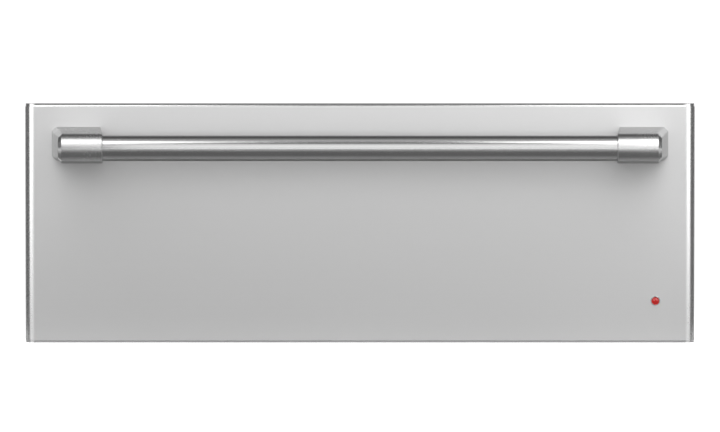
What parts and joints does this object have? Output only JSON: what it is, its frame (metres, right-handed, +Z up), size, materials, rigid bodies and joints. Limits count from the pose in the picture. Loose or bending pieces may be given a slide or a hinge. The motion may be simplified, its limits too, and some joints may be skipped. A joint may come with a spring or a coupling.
{
  "type": "built-in warming drawer",
  "caption": "Built-in warming drawer with a stainless front, tubular bar handle, red indicator light, heated cavity and full-extension ball slides.",
  "frame": {"origin": "on the underside of the chassis base, midway across, in the plane of the cabinet face", "axes": "+X to the right seen from the front, +Y into the cabinet, +Z up; the drawer opens along -Y"},
  "size_m": [0.7556, 0.67, 0.2699],
  "materials": {
    "brushed_stainless": "brushed",
    "polished_stainless": "polished",
    "aluminised_sheet": "satin",
    "galvanised_sheet": "spangled",
    "zinc_plated_steel": "satin",
    "bearing_steel": "polished",
    "mineral_wool": "matt",
    "silicone_grey": "matt",
    "red_lens": "gloss",
    "clear_acrylic": "gloss",
    "black_plastic": "matt",
    "gloss_black_plastic": "gloss",
    "grey_plastic": "matt",
    "circuit_board": "gloss",
    "element_sheath": "oxidised",
    "ceramic_white": "satin"
  },
  "bodies": {
    "chassis": {"chassis_base": "galvanised_sheet", "chassis_left_side": "galvanised_sheet", "chassis_right_side": "galvanised_sheet", "chassis_top": "galvanised_sheet", "chassis_back": "galvanised_sheet", "front_frame": "aluminised_sheet", "cavity_left_wall": "aluminised_sheet", "cavity_right_wall": "aluminised_sheet", "cavity_floor": "aluminised_sheet", "cavity_ceiling": "aluminised_sheet", "cavity_back": "aluminised_sheet", "cavity_insulation": "mineral_wool", "heating_element": "element_sheath", "element_terminals": "ceramic_white", "element_supports": "zinc_plated_steel", "temperature_sensor": "zinc_plated_steel", "high_limit_cutout": "ceramic_white", "control_tray": "galvanised_sheet", "control_board": "circuit_board", "board_components": "black_plastic", "control_fascia": "gloss_black_plastic", "keypad_board": "circuit_board", "junction_cover": "galvanised_sheet", "inlet_bushing": "black_plastic", "terminal_block": "black_plastic", "cabinet_rails": "zinc_plated_steel", "closing_bumpers": "silicone_grey", "cabinet_rail_screws": "zinc_plated_steel", "indicator_led": "black_plastic"},
    "drawer": {"front_skin": "brushed_stainless", "front_liner": "aluminised_sheet", "front_insulation": "mineral_wool", "front_gasket": "silicone_grey", "handle_bar": "brushed_stainless", "left_handle_post": "polished_stainless", "right_handle_post": "polished_stainless", "handle_bolts": "zinc_plated_steel", "handle_backing_plates": "zinc_plated_steel", "bar_set_screws": "zinc_plated_steel", "indicator_lens": "red_lens", "lens_bezel": "polished_stainless", "light_pipe": "clear_acrylic", "left_side_bracket": "zinc_plated_steel", "right_side_bracket": "zinc_plated_steel", "rear_crossbar": "zinc_plated_steel", "drawer_pan": "polished_stainless", "serving_rack": "polished_stainless", "vent_cover": "aluminised_sheet", "drawer_rails": "zinc_plated_steel", "drawer_rail_screws": "zinc_plated_steel"},
    "intermediate_members": {"intermediate_rails": "zinc_plated_steel"},
    "outer_cages": {"outer_ball_cages": "zinc_plated_steel", "outer_balls": "bearing_steel"},
    "inner_cages": {"inner_ball_cages": "zinc_plated_steel", "inner_balls": "bearing_steel"},
    "shutter": {"vent_shutter": "aluminised_sheet"},
    "power_key": {"power_button": "grey_plastic"},
    "lower_key": {"lower_button": "grey_plastic"},
    "higher_key": {"higher_button": "grey_plastic"}
  },
  "joints": [
    {"name": "drawer_slide", "type": "slide", "parent": "chassis", "child": "drawer", "axis": [0, -1, 0], "range_m": [0, 0.48]},
    {"name": "intermediate_slide", "type": "slide", "parent": "chassis", "child": "intermediate_members", "axis": [0, -1, 0], "range_m": [0, 0.24]},
    {"name": "outer_cage_roll", "type": "slide", "parent": "chassis", "child": "outer_cages", "axis": [0, -1, 0], "range_m": [0, 0.12]},
    {"name": "inner_cage_roll", "type": "slide", "parent": "chassis", "child": "inner_cages", "axis": [0, -1, 0], "range_m": [0, 0.36]},
    {"name": "vent_slide", "type": "slide", "parent": "drawer", "child": "shutter", "axis": [1, 0, 0], "range_m": [0, 0.015]},
    {"name": "power_press", "type": "slide", "parent": "chassis", "child": "power_key", "axis": [0, 1, 0], "range_m": [0, 0.0012], "stiffness_N_per_m": 600},
    {"name": "lower_press", "type": "slide", "parent": "chassis", "child": "lower_key", "axis": [0, 1, 0], "range_m": [0, 0.0012], "stiffness_N_per_m": 600},
    {"name": "higher_press", "type": "slide", "parent": "chassis", "child": "higher_key", "axis": [0, 1, 0], "range_m": [0, 0.0012], "stiffness_N_per_m": 600}
  ],
  "couplings": [
    {"joint": "intermediate_slide", "follows": "drawer_slide", "ratio": 0.5},
    {"joint": "outer_cage_roll", "follows": "drawer_slide", "ratio": 0.25},
    {"joint": "inner_cage_roll", "follows": "drawer_slide", "ratio": 0.75}
  ]
}
